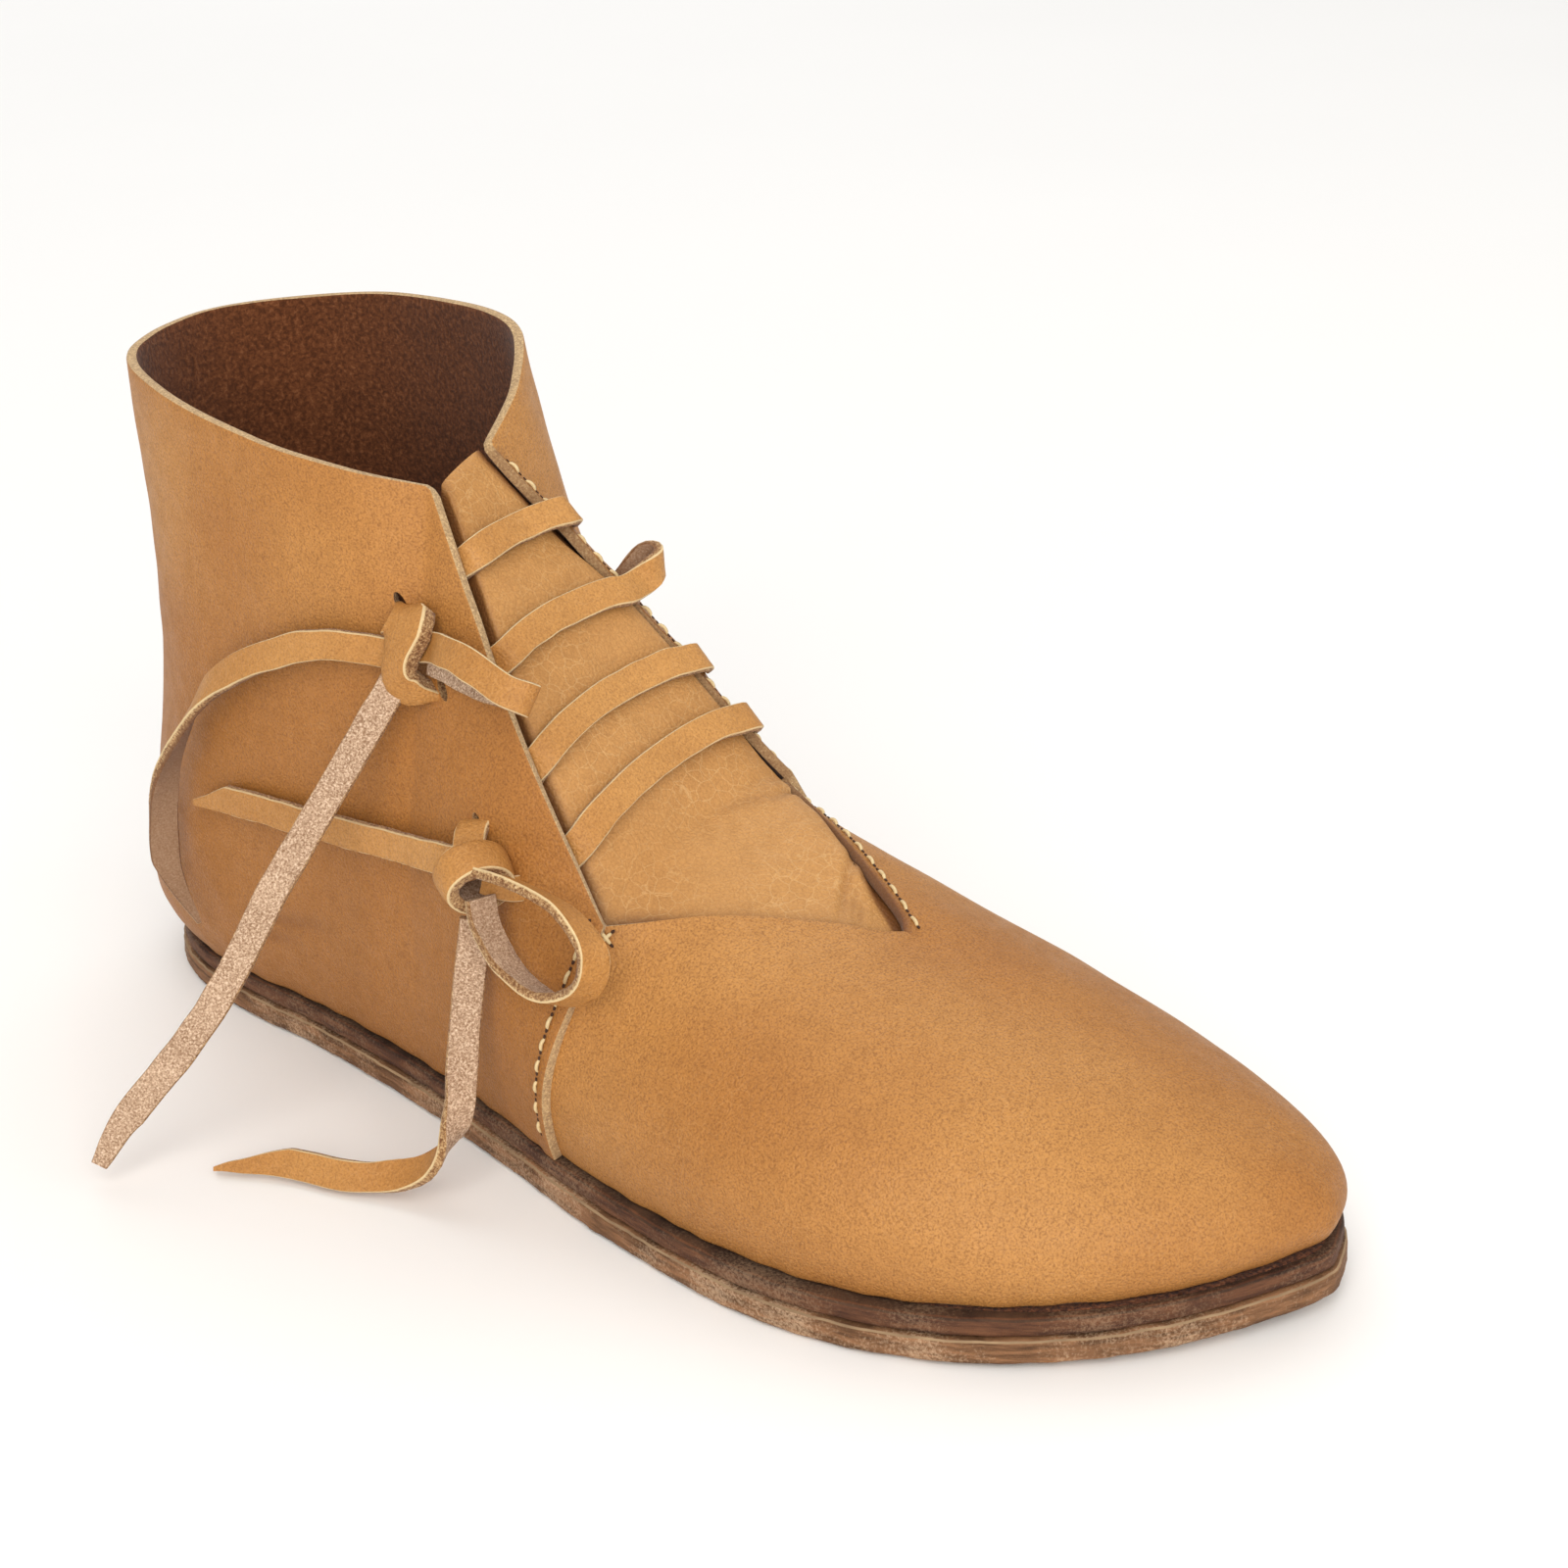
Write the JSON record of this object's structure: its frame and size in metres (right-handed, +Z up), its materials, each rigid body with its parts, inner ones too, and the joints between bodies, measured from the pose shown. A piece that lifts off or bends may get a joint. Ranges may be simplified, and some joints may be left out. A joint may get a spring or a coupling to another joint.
{
  "type": "medieval boot",
  "caption": "Laced ankle boot of medieval cut in tan leather, for the right foot, with side-seamed quarters, a tongue under thong lacing tied on the outer side and a flat layered sole.",
  "frame": {"origin": "on the floor under the middle of the sole's length, on the flat underside of the outsole", "axes": "+Z up from the floor, the toe towards -Y, the outer side of the right foot towards -X"},
  "size_m": [0.1512, 0.2904, 0.1452],
  "materials": {
    "outsole": "worn matt dark brown sole leather",
    "midsole": "matt dark brown sole leather",
    "insole": "matt brown leather",
    "upper": "satin tan full-grain leather",
    "tongue": "satin tan full-grain leather",
    "thong": "satin tan leather strip, fleshy on its back"
  },
  "bodies": {
    "root": {"outsole": "outsole", "midsole": "midsole", "insole": "insole", "upper": "upper", "tongue": "tongue", "lace_bar_1": "thong", "lace_bar_2": "thong", "lace_bar_3": "thong", "lace_bar_4": "thong", "upper_knot": "thong", "lower_knot": "thong", "upper_loop": "thong", "lower_loop": "thong", "upper_end_back": "thong", "upper_end_down": "thong", "lower_end_back": "thong", "lower_end_down": "thong"}
  },
  "joints": []
}
